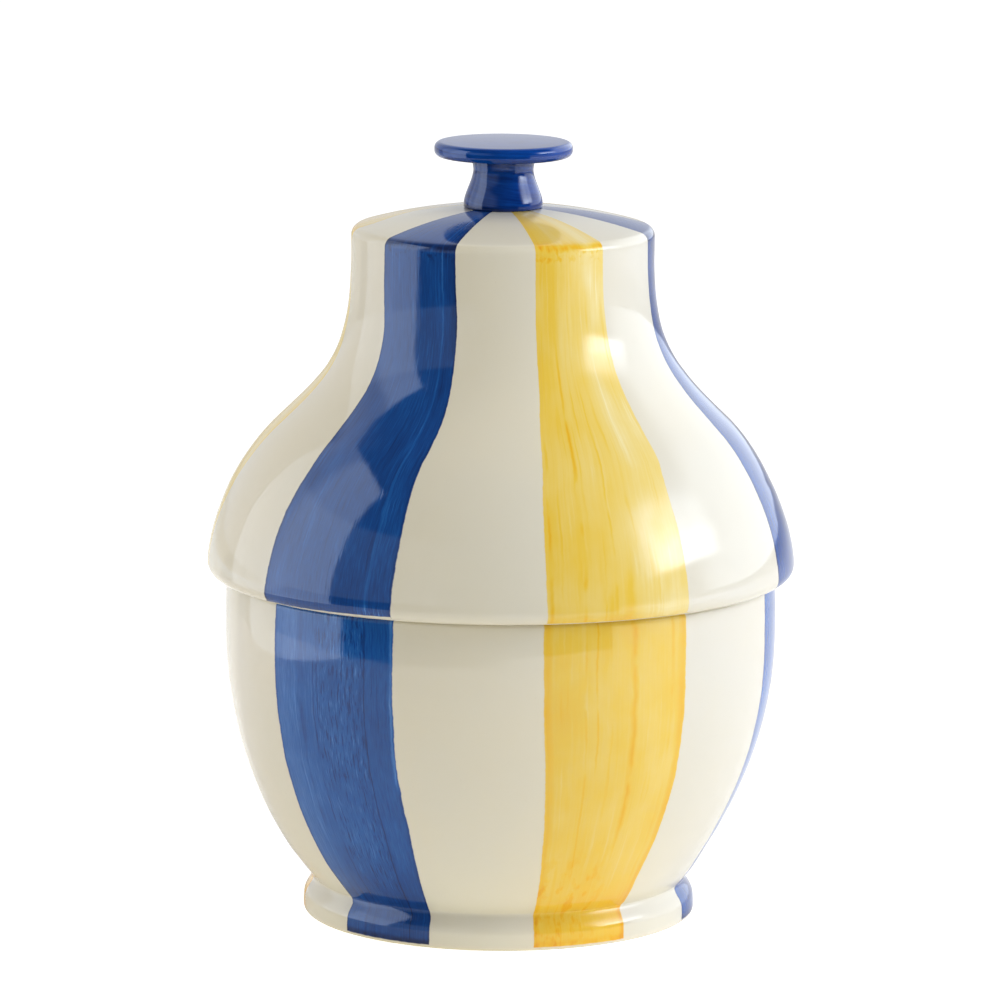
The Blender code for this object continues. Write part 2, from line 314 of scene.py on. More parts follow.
@dataclass(frozen=True)
class StripePlan:
    """Six stripes round the pot; the jar's and the lid's were painted apart and don't quite meet."""

    front_blue: Stripe = Stripe(
        Paint.BLUE,
        (
            (0, -49.8), (10, -50.0), (12.5, -51.6), (30, -52.2), (52, -53.0), (80, -53.2), (116.8, -53.2),
            (118, -51.9), (141, -51.0), (165, -49.0), (180, -48.0), (192, -47.6), (215, -49.5),
            (230, -50.2), (242, -48.4),
        ),
        (
            (0, -20.2), (10, -20.4), (12.5, -21.2), (35, -21.0), (54, -21.7), (70, -22.2), (116.8, -22.2),
            (118, -21.2), (142, -20.6), (164, -19.4), (172, -18.1), (190, -16.5), (205, -16.5),
            (232, -17.8), (242, -16.8),
        ),
    )
    front_yellow: Stripe = Stripe(
        Paint.YELLOW,
        (
            (0, 10.2), (11, 10.4), (14, 10.8), (34, 10.5), (70, 9.5), (105, 8.8), (116.8, 8.8),
            (118, 8.9), (148, 8.7), (164, 9.5), (181, 10.9), (192, 12.0), (225, 12.2), (242, 12.0),
        ),
        (
            (0, 39.0), (11, 39.4), (14, 40.9), (25, 40.6), (40, 41.2), (116.8, 41.0),
            (118, 38.5), (154, 38.6), (170, 40.4), (195, 41.0), (225, 40.3), (234, 40.4), (242, 43.6),
        ),
    )
    right_blue: Stripe = Stripe(
        Paint.BLUE,
        (
            (0, 68.6), (11, 69.5), (14, 71.0), (60, 72.0), (116.8, 72.0),
            (118, 68.9), (142, 69.8), (163, 70.4), (200, 72.0), (228, 71.2), (242, 70.2),
        ),
        ((0, 100.5), (60, 102.6), (116.8, 103.2), (118, 101.5), (180, 102.8), (242, 101.4)),
    )
    back_yellow: Stripe = Stripe(
        Paint.YELLOW,
        ((0, 131.4), (50, 132.8), (116.8, 132.2), (118, 130.4), (175, 132.6), (242, 131.0)),
        ((0, 162.0), (70, 163.4), (116.8, 162.6), (118, 161.2), (190, 163.6), (242, 162.4)),
    )
    back_blue: Stripe = Stripe(
        Paint.BLUE,
        ((0, -169.0), (60, -167.6), (116.8, -168.4), (118, -169.8), (185, -167.4), (242, -168.6)),
        ((0, -137.8), (65, -136.6), (116.8, -137.2), (118, -138.6), (200, -136.2), (242, -137.4)),
    )
    left_yellow: Stripe = Stripe(
        Paint.YELLOW,
        ((0, -112.0), (55, -113.6), (116.8, -113.0), (118, -112.2), (170, -111.6), (242, -114.0)),
        (
            (0, -81.0), (4, -82.0), (8, -82.5), (12, -83.5), (15, -88.0), (40, -91.0), (116.8, -91.0),
            (118, -82.0), (132, -83.0), (148, -81.6), (165, -80.0), (182, -78.9), (205, -79.4),
            (220, -82.4), (229, -83.2), (236, -80.0), (238, -83.0), (240, -96.0), (242, -104.0),
        ),
    )

    def stripes(self) -> tuple[Stripe, ...]:
        """The stripes in their order round the pot, from the back's left."""
        return (
            self.back_blue,
            self.left_yellow,
            self.front_blue,
            self.front_yellow,
            self.right_blue,
            self.back_yellow,
        )


@dataclass(frozen=True)
class ClearGlaze:
    """What all the glazed clay shares: gloss, and the soft unevenness of a fired glaze."""

    roughness: float = 0.04
    ior: float = 1.52
    peel_size: float = 0.007
    peel_height: float = 0.0000100
    ring_pitch: float = 0.0021
    ring_height: float = 0.0000035

    def relief(self, spot: Spot) -> Value:
        """Height of the glaze's surface in metres: a faint orange peel over faint throwing rings."""
        rings = spot.graph.grain(spot.x * 4.0, spot.y * 4.0, spot.z / self.ring_pitch, 1.0)
        return spot.grain(self.peel_size, 1.0) * self.peel_height + rings * self.ring_height

    def finish(self, colour: Value, roughness: Operand, relief: Value) -> None:
        """Puts colour, roughness and relief into the material's shader.

        Args:
            colour: the base colour.
            roughness: the roughness, plain or varying.
            relief: the surface's height in metres.
        """
        graph = colour.graph
        normal = graph.node("ShaderNodeBump", {}, {"Strength": 1.0, "Distance": 1.0, "Height": relief})
        graph.feed(colour, SHADER, "Base Color")
        graph.feed(normal, SHADER, "Normal")
        inputs = graph.tree.nodes[SHADER].inputs
        inputs["IOR"].default_value = self.ior
        if isinstance(roughness, Value):
            graph.feed(roughness, SHADER, "Roughness")
        else:
            inputs["Roughness"].default_value = roughness


def new_material(name: str) -> tuple[bpy.types.Material, Graph]:
    """An empty Principled material and its graph."""
    material = bpy.data.materials.new(name)
    material.use_nodes = True
    return material, Graph(material.node_tree)


@dataclass(frozen=True)
class Trail:
    """A long line from a stray hair of the brush, which adds to the paint's depth.

    Its place across the stripe and its reach to each side are shares of the stripe's width, and it
    may set in between two heights in millimetres.
    """

    place: float
    reach: float
    depth: float
    sets_in: tuple[float, ...] = ()


@dataclass(frozen=True)
class Touch:
    """Where the brush touched the pot.

    Height is in millimetres and stroke runs across the stripe from 0 to 1. The seed differs from
    stripe to stripe, and on_lid is 1 on the lid and 0 on the jar.
    """

    height: Value
    stroke: Value
    seed: Value
    on_lid: Value

    def line(self, place: float, reach: float) -> Value:
        """One long line, which wanders a little and breaks off here and there.

        Args:
            place: where across the stripe it runs.
            reach: half its width, as a share of the stripe.

        Returns:
            1 on the line, 0 beside it.
        """
        graph = self.height.graph
        wander = (graph.grain(self.height * 0.035, place * 37.0, 1.0) - 0.5) * 0.04
        kept = graph.grain(self.height * 0.07, place * 53.0, 2.0).rise(0.36, 0.58)
        return (self.stroke + wander).near(place, reach) * kept

    def trails(self, trails: tuple[Trail, ...]) -> Operand:
        """Adds up trails.

        Args:
            trails: the trails of one colour on the jar or on the lid.

        Returns:
            The depth that they add.
        """
        depth: Operand = 0.0
        for trail in trails:
            added = self.line(trail.place, trail.reach) * trail.depth
            if trail.sets_in:
                added = added * self.height.rise(*trail.sets_in)
            depth = added + depth
        return depth


@dataclass(frozen=True)
class Strokes:
    """The marks of one wide brush over a stripe, each between 0 and 1 or round 0."""

    dark: Value
    light: Value
    hairs: Value
    wash: Value

    def weighed(self, dark: float, light: float, hairs: float, wash: float) -> Value:
        """Adds the marks up by weight; the light streaks take depth away."""
        return self.dark * dark - self.light * light + self.hairs * hairs + self.wash * wash


@dataclass(frozen=True)
class Brush:
    """How a wide soft brush lays its colour: broken streaks over an uneven wash."""

    streaks: float
    streak_length: float
    hairs: float
    hair_length: float
    wash: float
    wash_length: float
    patches: float = 5.0
    patch_length: float = 24.0

    def strokes(self, touch: Touch) -> Strokes:
        """Makes the marks.

        Args:
            touch: where the brush touched.

        Returns:
            Dark and light streaks, and the hairs' and the wash's rise and fall round 0.
        """
        grain, stroke, height, seed = touch.height.graph.grain, touch.stroke, touch.height, touch.seed
        lines = grain(stroke * self.streaks, height / self.streak_length, seed * 9.0)
        patches = grain(stroke * self.patches, height / self.patch_length, seed * 4.0 + 30.0)
        hairs = grain(stroke * self.hairs, height / self.hair_length, seed * 5.0 + 40.0)
        wash = grain(stroke * self.wash, height / self.wash_length, seed * 3.0 + 20.0, 3.0)
        return Strokes(
            lines.rise(0.53, 0.72) * patches.rise(0.38, 0.62),
            lines.rise(0.47, 0.28) * patches.rise(0.62, 0.36),
            hairs - 0.5,
            wash - 0.5,
        )


@dataclass(frozen=True)
class StripedGlaze:
    """Cream glaze with brushed stripes of translucent blue and yellow under its gloss."""

    plan: StripePlan = StripePlan()
    gloss: ClearGlaze = ClearGlaze(roughness=0.03)
    blue_brush: Brush = Brush(
        streaks=46.0, streak_length=60.0, hairs=125.0, hair_length=6.0, wash=6.0, wash_length=22.0
    )
    yellow_brush: Brush = Brush(
        streaks=24.0, streak_length=48.0, hairs=70.0, hair_length=30.0, wash=3.4, wash_length=26.0
    )
    cream: Colour = srgb(206, 201, 183)
    cream_warm: Colour = srgb(209, 202, 180)
    clay_edge: Colour = srgb(212, 203, 184)
    speck: Colour = srgb(188, 176, 150)
    blues: Stops = (
        (0.00, srgb(150, 174, 208)),
        (0.25, srgb(60, 112, 176)),
        (0.48, srgb(14, 78, 147)),
        (0.62, srgb(4, 61, 127)),
        (0.80, srgb(2, 45, 103)),
        (1.00, srgb(4, 27, 72)),
    )
    yellows: Stops = (
        (0.00, srgb(224, 213, 164)),
        (0.25, srgb(219, 194, 109)),
        (0.50, srgb(217, 182, 62)),
        (0.75, srgb(217, 168, 27)),
        (1.00, srgb(212, 148, 8)),
    )
    blue_jar_trails: tuple[Trail, ...] = (
        Trail(0.26, 0.030, 0.12),
        Trail(0.375, 0.008, 0.28),
        Trail(0.20, 0.012, -0.10),
    )
    blue_lid_trails: tuple[Trail, ...] = (Trail(0.43, 0.007, -0.12), Trail(0.30, 0.006, -0.12))
    yellow_jar_trails: tuple[Trail, ...] = (
        Trail(0.27, 0.014, 0.20),
        Trail(0.35, 0.011, 0.26, (58.0, 76.0)),
        Trail(0.89, 0.018, 0.24, (66.0, 84.0)),
    )
    yellow_lid_trails: tuple[Trail, ...] = (
        Trail(0.255, 0.022, 0.34, (206.0, 190.0)),
        Trail(0.03, 0.018, 0.30, (180.0, 165.0)),
        Trail(0.47, 0.014, 0.16, (196.0, 180.0)),
        Trail(0.39, 0.010, 0.18, (152.0, 125.0)),
    )
    drift: float = 0.7
    fray: float = 0.35
    top: float = 250.0
    rim_level: float = 116.9
    edge_softness: float = 0.14
    streak_height: float = 0.000007
    paint_height: float = 0.000006
    ripple_size: float = 0.0026
    ripple_height: float = 0.000005
    cloud_size: float = 1 / 18
    speck_size: float = 1 / 900

    def build(self) -> bpy.types.Material:
        """Makes the material.

        Returns:
            The striped material, the same on jar and lid.
        """
        material, graph = new_material("striped_glaze")
        spot = Spot(graph)
        height, angle = spot.height(), spot.angle()
        drift = (graph.grain(angle * 0.05, height * 0.06, 3.0) - 0.5) * self.drift
        fray = (graph.grain(angle * 0.3, height * 0.45, 11.0) - 0.5) * self.fray
        blue, yellow, across, seed = self.lay_out(angle + drift + fray, height)
        painted = self.ends(angle, height, across * blue)
        sway = (graph.grain(seed * 7.0, height * 0.018, 5.0, 1.0) - 0.5) * 0.05
        wobble = (graph.grain(across * 9.0, height * 0.11, seed * 2.0, 1.0) - 0.5) * 0.012
        on_lid = height.rise(self.rim_level - 0.05, self.rim_level + 0.05)
        touch = Touch(height, across + sway + wobble, seed, on_lid)
        pool = self.pooling(angle, height)

        blue_strokes, yellow_strokes = self.blue_brush.strokes(touch), self.yellow_brush.strokes(touch)
        edges = across.near(0.0, 0.03) + across.near(1.0, 0.03)
        blue_depth = self.blue_depth(touch, blue_strokes) + edges * 0.20 + pool * 0.34
        left_edge = seed.near(2.0, 0.5) * touch.stroke.near(0.985, 0.022)
        yellow_depth = self.yellow_depth(touch, yellow_strokes)
        yellow_depth = yellow_depth + left_edge * (0.34 * on_lid + height.rise(14.0, 10.0) * 0.50)
        yellow_depth = yellow_depth + pool * (0.46 + yellow_strokes.wash * 1.2)

        blue_share = (blue * painted * 0.99).clamped()
        yellow_share = (yellow * painted * 0.97).clamped()
        colour = graph.blend(self.ware(spot), graph.ramp(blue_depth.clamped(), self.blues), blue_share)
        colour = graph.blend(colour, graph.ramp(yellow_depth.clamped(), self.yellows), yellow_share)

        share = ((blue + yellow) * painted).clamped()
        lines = (blue_strokes.dark - blue_strokes.light + blue_strokes.hairs) * self.streak_height
        ripple = spot.grain(self.ripple_size, 1.0) * self.ripple_height
        relief = self.gloss.relief(spot) + share * (lines + ripple + self.paint_height)
        self.gloss.finish(colour, self.gloss.roughness + share * 0.02, relief)
        return material

    def lay_out(self, angle: Value, height: Value) -> tuple[Value, Value, Value, Value]:
        """Finds where the stripes are.

        Args:
            angle: the angle round the pot, already unsettled by the brush.
            height: the height in millimetres.

        Returns:
            Cover of the blue, cover of the yellow, place across the stripe from 0 at its left edge
            to 1 at its right, and a number that differs from stripe to stripe.
        """
        covers = {Paint.BLUE: 0.0, Paint.YELLOW: 0.0}
        across: Operand = 0.0
        seed: Operand = 0.0
        for number, stripe in enumerate(self.plan.stripes()):
            left = height.graph.table(height, stripe.left, self.top)
            width = height.graph.table(height, stripe.right, self.top) - left
            from_left = angle - left
            softness = self.edge_softness
            cover = from_left.rise(-softness, softness) * (width - from_left).rise(-softness, softness)
            covers[stripe.paint] = cover + covers[stripe.paint]
            across = cover * (from_left / width) + across
            seed = cover * (number + 1.0) + seed
        return covers[Paint.BLUE], covers[Paint.YELLOW], across, seed

    def ends(self, angle: Value, height: Value, lift: Value) -> Value:
        """Where the brush reached: from above the foot's edge to the rim, and from the lip to the knob.

        Args:
            angle: the angle round the pot.
            height: the height in millimetres.
            lift: how far the brush had lifted off the lip, in millimetres.

        Returns:
            1 where paint can lie, 0 where the glaze was left bare.
        """
        level = height + (height.graph.grain(angle * 0.35, 2.0, 8.0) - 0.5) * 0.5
        jar = level.rise(1.0, 1.4) * level.rise(116.6, 116.3)
        return (jar + (level - lift).rise(117.45, 117.80)).clamped()

    def pooling(self, angle: Value, height: Value) -> Value:
        """Where runny paint gathered: along the lid's shoulder, in the foot's hollow and at the ends.

        Args:
            angle: the angle round the pot.
            height: the height in millimetres.

        Returns:
            The added depth, 0 to 1.
        """
        grain = height.graph.grain
        runs = grain(angle * 0.36, height * 0.16, 17.0, 4.0)
        level = height + (runs - 0.5) * 3.4
        blots = grain(angle * 0.50, height * 0.40, 23.0, 4.0).rise(0.50, 0.66)
        shoulder = level.near(234.9, 1.9) + blots * height.near(231.9, 3.4) * 0.75
        hollow = level.near(14.5, 4.5) * 0.22
        ends = level.near(118.6, 2.0) * 0.30 + level.near(2.2, 1.8) * 0.5
        return (shoulder + hollow + ends) * runs.rise(0.22, 0.62)

    def blue_depth(self, touch: Touch, strokes: Strokes) -> Value:
        """Depth of the blue paint: deep on the lid, drier and dragged on the jar.

        Args:
            touch: where the brush touched.
            strokes: the brush's marks.

        Returns:
            The depth, which runs from 0 to 1 through the blues.
        """
        grain, stroke, height = touch.height.graph.grain, touch.stroke, touch.height
        dashes = grain(stroke * 84.0, height * 0.17, 60.0, 4.0)
        dragged = stroke.rise(0.35, 0.42) * stroke.rise(0.81, 0.77) * height.rise(12.0, 24.0)
        dragged = dragged * grain(stroke * 3.0, height * 0.03, 71.0).rise(0.22, 0.44)
        jar = 0.48 + (dashes.rise(0.53, 0.63) * 0.24 - dashes.rise(0.43, 0.33) * 0.15) * dragged
        jar = jar - stroke.rise(0.38, 0.14) * 0.06 + stroke.rise(0.62, 0.84) * 0.06
        jar = jar + touch.trails(self.blue_jar_trails) + stroke.near(0.79, 0.009) * 0.26
        jar = jar - stroke.near(0.985, 0.022) * height.rise(54.0, 64.0) * 0.34
        jar = jar + height.rise(40.0, 13.0) * 0.15 + height.rise(3.4, 1.6) * 0.22
        jar = jar + strokes.weighed(0.13, 0.08, 0.34, 0.22)

        bright = (stroke + (grain(height * 0.025, 9.0, 4.0) - 0.5) * 0.05).near(0.835, 0.022)
        lid = 0.64 - bright * 0.15 + touch.trails(self.blue_lid_trails)
        lid = lid + strokes.weighed(0.14, 0.16, 0.42, 0.30)
        lid = lid + height.near(119.0, 4.0) * stroke.near(0.86, 0.16) * (strokes.hairs * 1.4 - 0.10)
        lid = lid + stroke.rise(0.86, 0.97) * height.rise(190.0, 210.0) * 0.14
        return jar + (lid - jar) * touch.on_lid

    def yellow_depth(self, touch: Touch, strokes: Strokes) -> Value:
        """Depth of the yellow paint: a watery wash with amber where it ran together.

        Args:
            touch: where the brush touched.
            strokes: the brush's marks.

        Returns:
            The depth, which runs from 0 to 1 through the yellows.
        """
        grain, stroke, height = touch.height.graph.grain, touch.stroke, touch.height
        lid = 0.33 + stroke.rise(0.34, 0.24) * 0.12 - stroke.rise(0.55, 0.75) * 0.11
        lid = lid + touch.trails(self.yellow_lid_trails)
        lid = lid + stroke.near(0.56, 0.06) * height.rise(152.0, 125.0) * 0.18

        band = (stroke + (grain(height * 0.06, 3.0, 6.0) - 0.5) * 0.09).near(0.605, 0.035)
        broken = grain(stroke * 8.0, height * 0.07, 90.0).rise(0.34, 0.56)
        blots = grain(stroke * 11.0, height * 0.17, 95.0, 4.0).rise(0.50, 0.66)
        jar = 0.46 + stroke.near(0.025, 0.045) * 0.20 + stroke.near(0.975, 0.050) * 0.25
        jar = jar + band * broken * height.rise(30.0, 46.0) * 0.32 + touch.trails(self.yellow_jar_trails)
        jar = jar + blots * height.rise(42.0, 18.0) * stroke.rise(0.75, 0.45) * 0.30
        jar = jar + height.rise(30.0, 8.0) * 0.14
        return jar + strokes.weighed(0.15, 0.13, 0.12, 0.48) + (lid - jar) * touch.on_lid

    def ware(self, spot: Spot) -> Value:
        """Colour of the unpainted glaze: cream, a little warmer in places, with a few small specks.

        Args:
            spot: the place on the object.

        Returns:
            The colour.
        """
        graph, height = spot.graph, spot.height()
        specks = spot.grain(self.speck_size, 1.0).rise(0.78, 0.84)
        thin = height.near(117.4, 0.9) + height.near(1.0, 1.2)
        warm = spot.grain(self.cloud_size, 3.0).rise(0.30, 0.75)
        colour = graph.blend(self.cream, self.cream_warm, warm)
        colour = graph.blend(colour, self.clay_edge, (thin * 0.5).clamped())
        return graph.blend(colour, self.speck, specks * 0.25)


@dataclass(frozen=True)
class PlainGlaze:
    """Unpainted cream glaze of the inside, with the rings of the potter's fingers."""

    gloss: ClearGlaze = ClearGlaze(roughness=0.12, ring_pitch=0.0052, ring_height=0.000030)
    cream: Colour = srgb(208, 202, 182)
    shade: Colour = srgb(198, 188, 160)
    speck: Colour = srgb(168, 146, 112)
    speck_size: float = 1 / 800

    def build(self) -> bpy.types.Material:
        """Makes the material."""
        material, graph = new_material("plain_glaze")
        spot = Spot(graph)
        cloud = graph.grain(spot.x * 40.0, spot.y * 40.0, spot.z * 60.0, 4.0)
        specks = spot.grain(self.speck_size, 1.0).rise(0.72, 0.79)
        colour = graph.blend(self.cream, self.shade, cloud.rise(0.40, 0.75))
        colour = graph.blend(colour, self.speck, specks * 0.45)
        self.gloss.finish(colour, self.gloss.roughness + cloud * 0.08, self.gloss.relief(spot))
        return material


@dataclass(frozen=True)
class BareClay:
    """Fired clay without glaze, where the foot touches the table."""

    light: Colour = srgb(214, 190, 164)
    dark: Colour = srgb(176, 146, 118)
    roughness: float = 0.82
    grit_size: float = 0.0007
    grit_height: float = 0.00005
    stain_size: float = 1 / 60

    def build(self) -> bpy.types.Material:
        """Makes the material."""
        material, graph = new_material("bare_clay")
        spot = Spot(graph)
        grit = spot.grain(self.grit_size, 3.0)
        stain = spot.grain(self.stain_size, 3.0).rise(0.4, 0.7)
        colour = graph.blend(self.light, self.dark, (grit * 0.6 + stain * 0.4).clamped())
        ClearGlaze().finish(colour, self.roughness, grit * self.grit_height)
        return material


@dataclass(frozen=True)
class CobaltGlaze:
    """Deep blue glaze of the knob, brushed round and round."""

    gloss: ClearGlaze = ClearGlaze(roughness=0.05, ring_height=0.0000016)
    tones: Stops = (
        (0.00, srgb(50, 96, 165)),
        (0.35, srgb(6, 62, 138)),
        (0.65, srgb(1, 44, 112)),
        (1.00, srgb(1, 24, 70)),
    )
    mark_height: float = 0.000012
    fine_mark_height: float = 0.000003
    cloud_size: float = 1 / 180

    def build(self) -> bpy.types.Material:
        """Makes the material."""
        material, graph = new_material("cobalt_glaze")
        spot = Spot(graph)
        height, angle = spot.height(), spot.angle()
        radius = spot.radius() * MILLIMETRES
        turn = height * 0.55 + radius * 0.55 + angle * 0.010
        rings = graph.grain(turn * 1.7, angle * 0.012, 4.0)
        fine = graph.grain(turn * 6.0, angle * 0.03, 9.0)
        cloud = spot.grain(self.cloud_size, 3.0)
        # Deeper blue at the stem's foot and on the stem just under the disc: partly glaze pooled at the
        # joints, partly painted shade where the disc and the crown shade the stem.
        pool = height.near(242.9, 1.6) + height.near(257.6, 1.4) * 0.8
        bare = height.near(264.6, 0.5) * radius.near(22.6, 1.2) * 0.35
        depth = 0.50 + (rings - 0.5) * 0.9 + (fine - 0.5) * 0.35 + (cloud - 0.5) * 0.3 + pool * 0.3 - bare
        colour = graph.ramp(depth.clamped(), self.tones)
        relief = self.gloss.relief(spot) + rings * self.mark_height + fine * self.fine_mark_height
        self.gloss.finish(colour, self.gloss.roughness + fine * 0.03, relief)
        return material


@dataclass
class Finishes:
    """The materials, each made once."""

    striped: bpy.types.Material = field(default_factory=lambda: StripedGlaze().build())
    plain: bpy.types.Material = field(default_factory=lambda: PlainGlaze().build())
    clay: bpy.types.Material = field(default_factory=lambda: BareClay().build())
    cobalt: bpy.types.Material = field(default_factory=lambda: CobaltGlaze().build())


class Run:
    """One run of a turned piece's outline, drawn in the plane y = 0 from a first point on."""

    def __init__(self, start: Point, spacing: float = COARSE_STEP) -> None:
        """Starts the run; spacing is the length of its steps."""
        self.mesh = bmesh.new()
        self.spacing = spacing
        self.tip = self.mesh.verts.new((start[0], 0, start[1]))
        self.clear_start = 0.0
        self.corners: list[tuple[bmesh.types.BMVert, float, int]] = []

    def place(self) -> Vector:
        """Where the run has got to."""
        return self.tip.co.copy()

    def step(self, point: Vector) -> None:
        """Extrudes the run's end to a point."""
        made = bmesh.ops.extrude_vert_indiv(self.mesh, verts=[self.tip])
        self.tip = made["verts"][0]
        self.tip.co = point

    def line(self, x: float, z: float, rounding: float = 0.0, segments: int = 8) -> "Run":
        """Draws a straight side in short steps.

        Args:
            x: distance of its end from the axis.
            z: height of its end.
            rounding: radius to which the corner at its end is rounded.
            segments: steps round that corner.

        Returns:
            The run itself.
        """
        start, end = self.place(), Vector((x, 0, z))
        pieces = max(1, round((end - start).length / self.spacing))
        clear = max(rounding * CORNER_ROOM, self.spacing)
        whole = (end - start).length
        for number in range(1, pieces):
            share = number / pieces
            if whole * share > self.clear_start and whole * (1 - share) > clear:
                self.step(start.lerp(end, share))
        self.step(end)
        if rounding > 0:
            self.corners.append((self.tip, rounding, segments))
        self.clear_start = clear if rounding > 0 else 0.0
        return self

    def curve(self, pull: Point, meet: Point, end: Point, steps: int) -> "Run":
        """Draws a Bezier side.

        Args:
            pull: handle of the run's present end.
            meet: handle of the curve's end.
            end: where the curve ends.
            steps: how many steps it takes.

        Returns:
            The run itself.
        """
        knots = [(point[0], 0, point[1]) for point in (pull, meet, end)]
        for point in interpolate_bezier(self.place(), *knots, steps + 1)[1:]:
            self.step(point)
        self.clear_start = 0.0
        return self

    def arc(self, centre: Point, turn: float, steps: int) -> "Run":
        """Draws part of a circle round a centre.

        Args:
            centre: the circle's centre.
            turn: degrees, positive from +X towards +Z.
            steps: how many steps it takes.

        Returns:
            The run itself.
        """
        middle = Vector((centre[0], 0, centre[1]))
        spoke = self.place() - middle
        for number in range(1, steps + 1):
            turned = Matrix.Rotation(-math.radians(turn) * number / steps, 3, "Y") @ spoke
            self.step(middle + turned)
        self.clear_start = 0.0
        return self

    def round_corners(self) -> None:
        """Bevels the marked corners to their radius."""
        for vert, radius, segments in self.corners:
            sides = [(edge.other_vert(vert).co - vert.co) for edge in vert.link_edges]
            half = sides[0].angle(sides[1]) / 2
            reach = min(radius / math.tan(half), min(side.length for side in sides) * 0.98)
            bmesh.ops.bevel(
                self.mesh,
                geom=[vert],
                offset=reach,
                offset_type="OFFSET",
                segments=segments,
                profile=0.5,
                affect="VERTICES",
                clamp_overlap=False,
                material=-1,
            )

    def spun(self, turns: int, glaze: int) -> bpy.types.Mesh:
        """Spins the run about the axis.

        Args:
            turns: steps of the full turn.
            glaze: material slot of its faces.

        Returns:
            A loose mesh, for the piece to take in.
        """
        self.round_corners()
        bmesh.ops.spin(
            self.mesh,
            geom=self.mesh.verts[:] + self.mesh.edges[:],
            cent=(0, 0, 0),
            axis=(0, 0, 1),
            angle=FULL_TURN,
            steps=turns,
            use_merge=True,
            use_duplicate=False,
        )
        for face in self.mesh.faces:
            face.material_index = glaze
        part = bpy.data.meshes.new("run")
        self.mesh.to_mesh(part)
        self.mesh.free()
        return part


@dataclass(frozen=True)
class ThrownWall:
    """The unevenness that hands leave in a thrown wall, which fades out towards its ends."""

    low: float
    high: float
    fade: float = 0.012
    lean: Table = ((0.0, 0.0),)
    ripple: float = 0.00005
    ripple_pitch: float = 0.0065
    warp: float = 0.00028
    warp_size: float = 0.045

    def unsettle(self, mesh: bmesh.types.BMesh) -> None:
        """Moves the walls' points: a slight lean, rings, and a slow warp round the pot."""
        for vert in mesh.verts:
            x, y, z = vert.co
            radius = math.hypot(x, y)
            inside = min((z - self.low) / self.fade, (self.high - z) / self.fade, radius / self.fade - 1)
            weight = max(0.0, min(1.0, inside))
            if weight == 0.0:
                continue
            weight = weight * weight * (3 - 2 * weight)
            way = Vector((x / radius, y / radius, 0))
            rings = noise.noise(Vector((way.x * 0.3, way.y * 0.3, z / self.ripple_pitch)))
            slow = noise.noise(Vector((way.x, way.y, z / self.warp_size)) + Vector((5.1, 2.3, 7.7)))
            outward = (rings * self.ripple + slow * self.warp) * weight
            vert.co += way * outward
            vert.co.x += between(self.lean, z) * weight


class Turned:
    """A piece turned about the vertical axis, which takes the place of one CAD node."""

    sharp_from: float = 48.0

    def __init__(self, node: str, body: str, slot: str, turns: int) -> None:
        """Starts the piece; turns is how many steps its full turn takes."""
        self.node = node
        self.body = body
        self.slot = slot
        self.turns = turns
        self.mesh = bmesh.new()

    def add(self, run: Run, glaze: int = 0) -> "Turned":
        """Takes in one run of the outline, spun, in one material slot."""
        part = run.spun(self.turns, glaze)
        self.mesh.from_mesh(part)
        bpy.data.meshes.remove(part)
        return self

    def finish(self, materials: list[bpy.types.Material], wall: ThrownWall | None = None) -> bpy.types.Object:
        """Closes the piece and puts it on its body.

        Args:
            materials: its materials, in the order of its slots.
            wall: the unevenness of its wall, if it has one.

        Returns:
            The piece's object.
        """
        bmesh.ops.remove_doubles(self.mesh, verts=self.mesh.verts, dist=MERGE_DISTANCE)
        bmesh.ops.dissolve_degenerate(self.mesh, dist=MERGE_DISTANCE / 4, edges=self.mesh.edges)
        bmesh.ops.recalc_face_normals(self.mesh, faces=self.mesh.faces)
        if wall is not None:
            wall.unsettle(self.mesh)
        for face in self.mesh.faces:
            face.smooth = True
        open_edges = sum(1 for edge in self.mesh.edges if not edge.is_manifold)
        mesh = bpy.data.meshes.new(self.node + "_glazed")
        self.mesh.to_mesh(mesh)
        self.mesh.free()
        mesh.set_sharp_from_angle(angle=math.radians(self.sharp_from))
        for material in materials:
            mesh.materials.append(material)
        piece = put_in_scene(self.node + "_glazed", mesh)
        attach(piece, self.body)
        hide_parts(self.node)
        LOG.info("%s: %d faces, %d open edges", piece.name, len(mesh.polygons), open_edges)
        return piece


